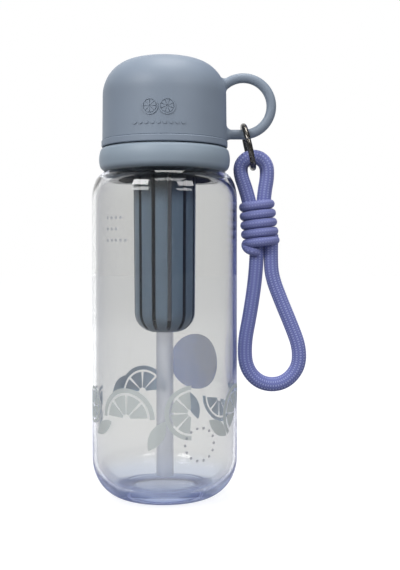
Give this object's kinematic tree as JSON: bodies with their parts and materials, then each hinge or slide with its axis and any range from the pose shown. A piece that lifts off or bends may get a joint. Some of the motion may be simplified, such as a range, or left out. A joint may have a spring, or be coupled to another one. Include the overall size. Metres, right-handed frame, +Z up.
{
  "type": "fruit infuser water bottle",
  "caption": "Clear straight-sided water bottle with a straw lid, a slotted fruit infuser, a dome cap with a loop handle, and a ring with a wound rope lanyard.",
  "frame": {"origin": "centre of the base, on the surface the bottle stands on", "axes": "+Z up along the bottle's axis, +X towards the loop handle and the lanyard, -Y towards the viewer"},
  "size_m": [0.1123, 0.076, 0.23],
  "materials": {
    "bottle_clear": "clear",
    "collar_plastic": "satin",
    "dome_plastic": "satin",
    "lid_plastic": "satin",
    "infuser_plastic": "semi-gloss",
    "straw_plastic": "translucent",
    "silicone": "matt",
    "ring_metal": "gunmetal plating",
    "rope_cord": "braided",
    "wrap_cord": "braided"
  },
  "bodies": {
    "bottle": {"bottle_body": "bottle_clear"},
    "lid": {"collar": "collar_plastic", "lid_core": "lid_plastic", "lid_seal": "silicone", "vent_valve": "silicone", "nozzle": "silicone", "straw": "straw_plastic"},
    "infuser": {"infuser_basket": "infuser_plastic"},
    "dome": {"dome_shell": "dome_plastic", "dome_liner": "lid_plastic", "dome_seal": "silicone"},
    "ring": {"ring_body": "ring_metal", "gate_pin": "ring_metal"},
    "gate": {"ring_gate": "ring_metal"},
    "lanyard": {"rope_upper_loop": "rope_cord", "rope_core": "rope_cord", "rope_lower_loop": "rope_cord", "rope_wrap": "wrap_cord"}
  },
  "joints": [
    {"name": "lid_lift", "type": "slide", "parent": "bottle", "child": "lid", "axis": [0, 0, 1], "range_m": [0, 0.19]},
    {"name": "dome_lift", "type": "slide", "parent": "lid", "child": "dome", "axis": [0, 0, 1], "range_m": [0, 0.05]},
    {"name": "infuser_drop", "type": "slide", "parent": "lid", "child": "infuser", "axis": [0, 0, -1], "range_m": [0, 0.07]},
    {"name": "ring_swing", "type": "hinge", "parent": "dome", "child": "ring", "pos_m": [0.0422, 0, 0.1896], "axis": [1, 0, 0], "range_deg": [-60, 60]},
    {"name": "lanyard_swing", "type": "hinge", "parent": "ring", "child": "lanyard", "pos_m": [0.04636, 0, 0.17229], "axis": [0, -1, 0], "range_deg": [0, 90]},
    {"name": "gate_open", "type": "hinge", "parent": "ring", "child": "gate", "pos_m": [0.0455, -0.00825, 0.17586], "axis": [-0.9724, 0, -0.2334], "range_deg": [0, 30], "stiffness_Nm_per_rad": 0.01, "springref_deg": -11.46}
  ]
}
